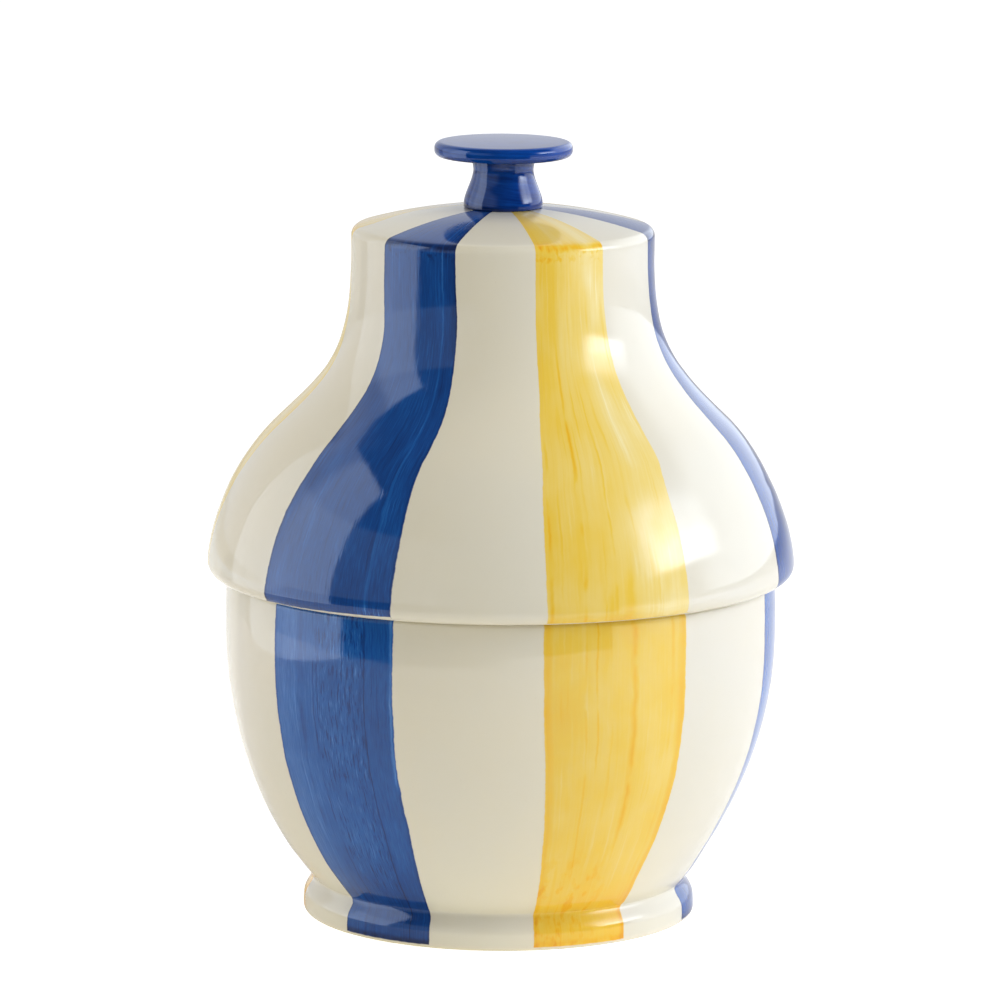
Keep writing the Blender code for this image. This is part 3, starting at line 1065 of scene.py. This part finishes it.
@dataclass
class Jar:
    """The belly-shaped bowl and the flared foot ring that it stands on."""

    waist_radius: float = 0.0638
    wall: float = 0.0050
    floor: float = 0.0060
    floor_round: float = 0.0140
    rim_round: float = 0.0018
    mouth_draw: float = 0.0003
    collar_bend_share: float = 0.55
    side_rise: float = 0.0850
    foot_flare_level: float = 0.0033
    foot_swell_level: float = 0.0056
    foot_edge_round: float = 0.0013
    foot_land: float = 0.0040
    foot_top_width: float = 0.0110
    foot_lap: float = 0.002
    hollow_start_pull: Point = (-0.0005, -0.0014)
    hollow_end_pull: Point = (-0.0004, 0.0028)
    hollow_end_inset: float = 0.0001
    turns: int = 192
    wall_marks: ThrownWall = ThrownWall(
        low=0.0135,
        high=0.1130,
        lean=((0.012, 0.0), (0.022, -0.0006), (0.036, -0.0007), (0.055, -0.0003), (0.075, 0.0)),
    )

    def __post_init__(self) -> None:
        """Reads the bowl's and the foot's levels from the frame."""
        low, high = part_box("jar_bowl")
        self.base = low.z
        self.rim = high.z
        self.belly_radius = high.x
        self.foot_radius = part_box("jar_foot")[1].x

    def build(self, finishes: Finishes) -> None:
        """Builds both pieces."""
        self.build_bowl(finishes)
        self.build_foot(finishes)

    def side_circle(self) -> tuple[Point, float]:
        """Centre and radius of the bowl's side: upright at the belly, and through the waist."""
        spread = self.belly_radius - self.waist_radius
        radius = (self.side_rise**2 + spread**2) / (2 * spread)
        return (self.belly_radius - radius, self.base + self.side_rise), radius

    def build_bowl(self, finishes: Finishes) -> None:
        """Turns the bowl: striped outside, plain inside."""
        centre, radius = self.side_circle()
        mouth = self.belly_radius - self.mouth_draw
        bend = centre[1] + (self.rim - centre[1]) * self.collar_bend_share
        slope = math.degrees(math.asin(self.side_rise / radius))
        outside = Run((0, self.base)).line(self.waist_radius, self.base).arc(centre, slope, steps=90)
        outside.line(self.belly_radius, bend).line(mouth, self.rim, self.rim_round)
        outside.line(mouth - self.wall / 2, self.rim)

        inner = radius - self.wall
        floor_level = self.base + self.floor
        fillet_z = floor_level + self.floor_round
        fillet_x = centre[0] + math.sqrt((inner - self.floor_round) ** 2 - (centre[1] - fillet_z) ** 2)
        meet = math.degrees(math.asin((centre[1] - fillet_z) / (inner - self.floor_round)))
        inside = Run((0, floor_level)).line(fillet_x, floor_level)
        inside.arc((fillet_x, fillet_z), 90 - meet, steps=16).arc(centre, meet, steps=60)
        inside.line(self.belly_radius - self.wall, bend)
        inside.line(mouth - self.wall, self.rim, self.rim_round).line(mouth - self.wall / 2, self.rim)

        bowl = Turned("jar_bowl", "jar", "striped_glaze", self.turns)
        bowl.add(outside, 0).add(inside, 1)
        bowl.finish([finishes.striped, finishes.plain], self.wall_marks)

    def build_foot(self, finishes: Finishes) -> None:
        """Turns the foot ring: striped outside, plain in its recess, bare clay where it stands."""
        top, swell = self.base, self.foot_swell_level
        seam = self.waist_radius - self.foot_lap
        edge = self.foot_radius - self.foot_edge_round
        pull, meet = self.hollow_start_pull, self.hollow_end_pull
        outside = Run((seam, top), FINE_STEP).line(self.waist_radius, top)
        outside.curve(
            (self.waist_radius + pull[0], top + pull[1]),
            (self.foot_radius + meet[0], swell + meet[1]),
            (self.foot_radius - self.hollow_end_inset, swell),
            steps=32,
        )
        outside.line(self.foot_radius, self.foot_flare_level)
        outside.line(self.foot_radius, self.foot_edge_round)
        outside.arc((edge, self.foot_edge_round), -90, steps=8)
        land = Run((edge, 0)).line(edge - self.foot_land, 0)
        recess = Run((edge - self.foot_land, 0))
        recess.line(self.waist_radius - self.foot_top_width, top).line(seam, top)
        foot = Turned("jar_foot", "jar", "striped_glaze", self.turns)
        foot.add(outside, 0).add(recess, 1).add(land, 2)
        foot.finish([finishes.striped, finishes.plain, finishes.clay])


@dataclass
class Lid:
    """The bell-shaped lid and the flange under it."""

    lip_round: float = 0.0040
    swell_radius: float = 0.0764
    swell_rise: float = 0.0492
    swell_slope: float = 46.5
    neck_radius: float = 0.0514
    neck_rise: float = 0.0612
    neck_band: float = 0.0039
    crown_rise: float = 0.0069
    seat_radius: float = 0.0138
    shoulder_round: float = 0.0032
    wall: float = 0.0050
    crown_wall: float = 0.0055
    ledge_height: float = 0.0065
    ledge_round: float = 0.0030
    flange_width: float = 0.0045
    flange_round: float = 0.0012
    ceiling_round: float = 0.0040
    neck_pull: float = 0.575
    swell_pulls: Point = (0.450, 0.505)
    lip_pull: float = 0.155
    turns: int = 192
    wall_marks: ThrownWall = ThrownWall(
        low=0.1270,
        high=0.2335,
        lean=((0.150, 0.0), (0.168, 0.0007), (0.186, 0.0008), (0.200, 0.0002), (0.215, 0.0)),
    )

    def __post_init__(self) -> None:
        """Reads the lid's levels from the frame."""
        low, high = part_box("lid_dome")
        self.seat = low.z
        self.crown = high.z
        self.lip_radius = high.x
        low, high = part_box("lid_flange")
        self.flange_base = low.z
        self.flange_radius = high.x
        self.flange_inner = self.flange_radius - self.flange_width

    def build(self, finishes: Finishes) -> None:
        """Builds both pieces."""
        self.build_dome(finishes)
        self.build_flange(finishes)

    def levels(self) -> tuple[float, float, float, float]:
        """Heights of the lip's widest level, the swell, the neck and the shoulder's corner."""
        lip = self.seat + self.lip_round
        swell = lip + self.swell_rise
        neck = swell + self.neck_rise
        return lip, swell, neck, neck + self.neck_band

    def crown_circle(self, shoulder: float) -> tuple[Point, float]:
        """Centre and radius of the domed crown, through the knob's seat and the shoulder's corner."""
        spread = self.neck_radius**2 - self.seat_radius**2
        centre = (self.crown + shoulder - spread / self.crown_rise) / 2
        return (0.0, centre), math.hypot(self.seat_radius, self.crown - centre)

    def bell(self, inset: float, steps: int) -> list[Point]:
        """Points of the bell from the neck down to the lip, moved inwards by inset.

        Args:
            inset: how far inside the outer surface the line runs.
            steps: steps of each of its two curves.

        Returns:
            The points, (distance from the axis, height).
        """
        lip, swell, neck, _ = self.levels()
        slope = math.radians(self.swell_slope)
        up, down = self.neck_rise * self.swell_pulls[0], self.swell_rise * self.swell_pulls[1]
        knots = [
            (self.neck_radius, neck),
            (self.neck_radius, neck - self.neck_rise * self.neck_pull),
            (self.swell_radius - up * math.sin(slope), swell + up * math.cos(slope)),
            (self.swell_radius, swell),
            (self.swell_radius + down * math.sin(slope), swell - down * math.cos(slope)),
            (self.lip_radius, lip + self.swell_rise * self.lip_pull),
            (self.lip_radius, lip),
        ]
        places = [Vector((x, 0, z)) for x, z in knots]
        line = interpolate_bezier(*places[:4], steps + 1)[:-1] + interpolate_bezier(*places[3:], steps + 1)
        points = []
        for before, here, after in zip([line[0]] + line[:-1], line, line[1:] + [line[-1]]):
            run = (after - before).normalized()
            points.append((here.x + run.z * inset, here.z - run.x * inset))
        return points

    def build_dome(self, finishes: Finishes) -> None:
        """Turns the dome: striped outside, plain under its lip and inside."""
        lip, _, neck, shoulder = self.levels()
        centre, radius = self.crown_circle(shoulder)
        seat_angle = math.degrees(math.acos(self.seat_radius / radius))
        straight = self.neck_radius - self.shoulder_round * CORNER_ROOM
        edge_angle = math.degrees(math.acos(straight / radius))
        outside = Run((0, self.crown)).line(self.seat_radius, self.crown)
        outside.arc(centre, edge_angle - seat_angle, steps=28)
        outside.line(self.neck_radius, shoulder, self.shoulder_round, segments=12)
        outside.line(self.neck_radius, neck)
        for x, z in self.bell(inset=0.0, steps=56)[1:]:
            outside.step(Vector((x, 0, z)))
        outside.arc((self.lip_radius - self.lip_round, lip), -90, steps=12)

        ledge_top = self.seat + self.ledge_height
        under = Run((self.lip_radius - self.lip_round, self.seat)).line(self.flange_inner, self.seat)
        under.line(self.flange_inner, ledge_top)
        line = self.bell(self.wall, steps=36)[::-1]
        inner = [point for point in line if point[1] > ledge_top + self.ledge_round]
        foot = (inner[0][0] + (inner[0][0] - inner[1][0]) / 2, ledge_top)
        under.line(*foot, self.ledge_round)
        under.clear_start = self.ledge_round * WIDE_CORNER_ROOM
        for x, z in inner:
            under.step(Vector((x, 0, z)))
        ceiling = radius - self.crown_wall
        reach = self.neck_radius - self.wall
        corner = centre[1] + math.sqrt(ceiling**2 - reach**2)
        under.line(reach, corner, self.ceiling_round)
        under.arc(centre, 90 - math.degrees(math.acos(reach / ceiling)), steps=28)
        dome = Turned("lid_dome", "lid", "striped_glaze", self.turns)
        dome.add(outside, 0).add(under, 1)
        dome.finish([finishes.striped, finishes.plain], self.wall_marks)

    def build_flange(self, finishes: Finishes) -> None:
        """Turns the ring that hangs in the jar's mouth."""
        outline = Run((self.flange_inner, self.seat)).line(self.flange_radius, self.seat)
        outline.line(self.flange_radius, self.flange_base, self.flange_round)
        outline.line(self.flange_inner, self.flange_base, self.flange_round)
        outline.line(self.flange_inner, self.seat)
        flange = Turned("lid_flange", "lid", "plain_glaze", self.turns)
        flange.add(outline)
        flange.finish([finishes.plain])


@dataclass
class Knob:
    """The spool-shaped knob: a waisted stem and a round disc."""

    stem_base_radius: float = 0.0134
    stem_waist_radius: float = 0.0102
    stem_top_radius: float = 0.0106
    base_band: float = 0.0009
    base_round: float = 0.0006
    top_band: float = 0.0028
    pull_share: float = 0.30
    disc_round: float = 0.0021
    disc_swell: float = 0.0004
    undercut: float = 0.0015
    turns: int = 128

    def __post_init__(self) -> None:
        """Reads the knob's levels from the frame."""
        low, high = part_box("knob_stem")
        self.seat = low.z
        self.stem_top = high.z
        low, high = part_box("knob_disc")
        self.disc_base = low.z
        self.disc_top = high.z
        self.disc_radius = high.x
        self.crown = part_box("lid_dome")[1].z

    def build(self, finishes: Finishes) -> None:
        """Builds the stem and the disc."""
        top = self.disc_base
        waist = (self.stem_waist_radius, self.stem_top - self.top_band)
        band = (self.stem_base_radius, self.seat + self.base_band)
        pull = (waist[1] - band[1]) * self.pull_share
        stem_run = Run((0, top), FINE_STEP).line(self.stem_top_radius, top).line(*waist)
        stem_run.curve((waist[0], waist[1] - pull), (band[0], band[1] + pull), band, steps=28)
        stem_run.line(self.stem_base_radius, self.crown, self.base_round, segments=5).line(0, self.crown)
        stem = Turned("knob_stem", "lid", "cobalt_glaze", self.turns)
        stem.add(stem_run)
        stem.finish([finishes.cobalt])

        edge = self.disc_base + self.undercut
        swell = (self.disc_radius**2 + self.disc_swell**2) / (2 * self.disc_swell)
        straight = self.disc_radius - self.disc_round * WIDE_CORNER_ROOM
        disc_run = Run((0, self.disc_top), FINE_STEP)
        disc_run.arc((0, self.disc_top - swell), -math.degrees(math.asin(straight / swell)), steps=24)
        for level in (self.disc_top - self.disc_swell, edge):
            disc_run.line(self.disc_radius, level, self.disc_round, segments=10)
        disc_run.line(self.stem_top_radius, self.disc_base).line(0, self.disc_base)
        disc = Turned("knob_disc", "lid", "cobalt_glaze", self.turns)
        disc.add(disc_run)
        disc.finish([finishes.cobalt])


@dataclass(frozen=True)
class Panel:
    """A rectangular studio light that isn't seen by the camera itself."""

    name: str
    centre: tuple[float, float, float]
    facing: tuple[float, float, float]
    width: float
    height: float
    radiance: float
    colour: tuple[float, float, float]
    across: Table = ()
    along: Table = ()
    lights_up: bool = True
    is_mirrored: bool = True

    def build(self) -> None:
        """Adds the light, turned towards the point that it faces."""
        light = bpy.data.lights.new(self.name, "AREA")
        light.shape = "RECTANGLE"
        light.size = self.width
        light.size_y = self.height
        light.energy = self.radiance * math.pi * self.width * self.height
        light.color = self.colour
        if self.across or self.along:
            self.soften(light)
        lamp = put_in_scene(self.name, light)
        lamp.location = self.centre
        way = Vector(self.facing) - Vector(self.centre)
        lamp.rotation_euler = way.to_track_quat("-Z", "Y").to_euler()
        lamp.visible_camera = False
        lamp.visible_diffuse = self.lights_up
        lamp.visible_glossy = self.is_mirrored
        LOG.info("light %s", self.name)

    def soften(self, light: bpy.types.AreaLight) -> None:
        """Lets the light vary over its face, as through a diffusing cloth lit from one side.

        Args:
            light: the light; the tables across and along give its share of the full radiance at
                shares of its width and height.
        """
        light.use_nodes = True
        graph = Graph(light.node_tree)
        place = graph.node("ShaderNodeNewGeometry", {}, {}, "Parametric")
        split = graph.node("ShaderNodeSeparateXYZ", {}, {"Vector": place})
        strength: Operand = 1.0
        for part, table in (("X", self.across), ("Y", self.along)):
            if table:
                strength = graph.table(split.out(part), table, 1.0) * strength
        graph.feed(strength, "Emission", "Strength")


@dataclass
class Studio:
    """Floor, surroundings, lights and camera."""

    floor_reach: float = 18.0
    floor_colour: Colour = (0.88, 0.88, 0.88, 1.0)
    glow_colour: Colour = (0.68, 0.68, 0.70, 1.0)
    bounce_colour: Colour = (0.280, 0.252, 0.165, 1.0)
    foot_bounce: Colour = (0.62, 0.58, 0.40, 1.0)
    foot_reach: tuple[float, float] = (0.112, 0.078)
    # Distance from the axis beyond which the floor shows painted shade in reflections: it is dark only to
    # glossy rays.
    dim_reflection_reach: tuple[float, float] = (0.655, 0.675)
    mirrored_glow: Colour = (0.30, 0.28, 0.22, 1.0)
    ambient: Colour = (0.40, 0.40, 0.40, 1.0)
    dark_tone: Colour = (0.05, 0.06, 0.075, 1.0)
    room_tone: Colour = (0.42, 0.50, 0.62, 1.0)
    back_tone: Colour = (0.80, 0.82, 0.86, 1.0)
    back_high_tone: Colour = (0.74, 0.76, 0.80, 1.0)
    right_tone: Colour = (1.85, 1.95, 2.05, 1.0)
    camera_distance: float = 2.3885
    camera_pitch: float = 10.0
    camera_roll: float = 0.385
    aim_height: float = 0.14165
    aim_side: float = -0.00041
    lens: float = 252.6
    sensor: float = 36.0
    lights: tuple[Panel, ...] = (
        Panel(
            "left_card", (-0.533, 0.008, 0.3875), (0.0, -0.058, 0.3875), 0.565, 0.775, 2.25,
            (0.89, 1.0, 1.21), across=((0.0, 0.30), (0.34, 0.50), (0.54, 0.95), (1.0, 1.0)),
            lights_up=False,
        ),
        Panel(
            "left_fill", (-0.526, 0.065, 0.41), (0.0, 0.0, 0.41), 0.68, 0.82, 0.76, (1.03, 0.94, 1.02),
            is_mirrored=False,
        ),
        Panel(
            "back_fill", (-1.2, 0.8, 0.4), (0.0, 0.0, 0.12), 0.90, 0.70, 1.2, (0.60, 1.0, 1.60),
            is_mirrored=False,
        ),
        Panel(
            "right_window", (1.489, -0.309, 0.903), (-0.028, -0.041, 0.185), 1.30, 0.96, 10.0,
            (0.92, 1.0, 1.12),
            across=(
                (0.0, 0.02), (0.12, 0.26), (0.24, 0.82), (0.42, 1.0), (0.60, 0.78), (0.80, 0.48),
                (0.92, 0.18), (1.0, 0.0),
            ),
            along=(
                (0.0, 0.0), (0.05, 0.26), (0.14, 0.88), (0.24, 0.92), (0.40, 0.66), (0.65, 0.38),
                (0.85, 0.10), (1.0, 0.0),
            ),
            lights_up=False,
        ),
        Panel(
            "right_light", (1.517, -0.268, 0.858), (0.0, 0.0, 0.14), 1.60, 0.90, 5.5, (0.915, 1.0, 1.29),
            is_mirrored=False,
        ),
        Panel(
            "overhead", (0.0, -0.30, 1.90), (0.0, -0.06, 0.0), 1.70, 1.50, 1.45, (1.07, 1.0, 0.75),
            is_mirrored=False,
        ),
        Panel(
            "low_fill", (0.0, -0.70, 0.012), (0.0, 0.0, 0.02), 0.70, 0.02, 3.0, (1.0, 0.95, 0.72),
            is_mirrored=False,
        ),
    )

    def build(self) -> None:
        """Sets up the whole studio."""
        self.build_floor()
        self.build_world()
        for light in self.lights:
            light.build()
        self.build_camera()
        bpy.context.scene.view_settings.view_transform = "Standard"

    def build_floor(self) -> None:
        """A pale matt floor, which keeps the object's shadow. It also glows as bounce light, strongest round
        the foot, and in reflections its far part to the front left is painted dark, as painted shade.
        """
        mesh = bpy.data.meshes.new("floor")
        grid = bmesh.new()
        bmesh.ops.create_grid(grid, x_segments=1, y_segments=1, size=self.floor_reach)
        grid.to_mesh(mesh)
        grid.free()
        material, graph = new_material("floor_paper")
        for name, plain in (("Roughness", 0.9), ("Specular IOR Level", 0.0), ("Emission Strength", 1.0)):
            graph.tree.nodes[SHADER].inputs[name].default_value = plain
        path = graph.node("ShaderNodeLightPath", {}, {}, "Is Camera Ray")
        mirrored = path.out("Is Glossy Ray")
        spot = Spot(graph)
        away = spot.radius()
        # Painted dim reflection: to glossy rays, the floor to the front left beyond that distance takes the
        # dark tone, while the camera still sees it pale.
        left = (spot.x + spot.y).rise(0.05, -0.05)
        beyond = away.rise(*self.dim_reflection_reach) * left * spot.y.rise(0.30, 0.05)
        lit = graph.blend(self.floor_colour, self.dark_tone, mirrored * beyond)
        graph.feed(lit, SHADER, "Base Color")
        bounce = graph.blend(self.bounce_colour, self.foot_bounce, away.rise(*self.foot_reach))
        glow = graph.blend(bounce, self.glow_colour, path)
        glow = graph.blend(glow, graph.blend(self.mirrored_glow, BLACK, left), mirrored)
        graph.feed(glow, SHADER, "Emission Color")
        mesh.materials.append(material)
        floor = put_in_scene("floor", mesh)

    def build_world(self) -> None:
        """White behind the object, dim behind the camera, and plain soft light from all round."""
        world = bpy.data.worlds.new("surroundings")
        bpy.context.scene.world = world
        world.use_nodes = True
        graph = Graph(world.node_tree)
        way = graph.node("ShaderNodeTexCoord", {}, {}, "Generated")
        split = graph.node("ShaderNodeSeparateXYZ", {}, {"Vector": way})
        behind = split.out("Y").rise(0.15, 0.60)
        right = (split + split.out("Y") * 0.8).rise(0.86, 1.05)
        room = split.out("Z").rise(0.55, 0.50) * split.rise(-0.15, -0.55)
        front = graph.blend(self.dark_tone, self.room_tone, room)
        back = graph.blend(self.back_tone, self.back_high_tone, split.out("Z").rise(0.25, 0.55))
        mirrored = graph.blend(front, back, behind)
        mirrored = graph.blend(mirrored, self.right_tone, right)
        path = graph.node("ShaderNodeLightPath", {}, {}, "Is Glossy Ray")
        light = graph.blend(self.ambient, mirrored, path)
        light = graph.blend(light, WHITE, path.out("Is Camera Ray"))
        light = graph.blend(light, WHITE, path.out("Is Transmission Ray"))
        graph.feed(light, "Background", "Color")

    def build_camera(self) -> None:
        """The camera, at the photograph's viewing angle."""
        camera = bpy.data.cameras.new("camera")
        camera.lens = self.lens
        camera.sensor_width = self.sensor
        camera.clip_end = 60.0
        pitch = math.radians(self.camera_pitch)
        target = Vector((self.aim_side, 0, self.aim_height))
        back = Vector((0, -math.cos(pitch), math.sin(pitch))) * self.camera_distance
        turn = (-back).to_track_quat("-Z", "Y").to_matrix().to_4x4()
        roll = Matrix.Rotation(math.radians(self.camera_roll), 4, "Z")
        holder = put_in_scene("camera", camera)
        holder.matrix_world = Matrix.Translation(target + back) @ turn @ roll
        bpy.context.scene.camera = holder


def main() -> None:
    """Builds the canister's pieces and the studio round them."""
    logging.basicConfig(level=logging.INFO, format="%(message)s")
    finishes = Finishes()
    for part in (Jar(), Lid(), Knob()):
        part.build(finishes)
    Studio().build()


if __name__ == "__main__":
    main()
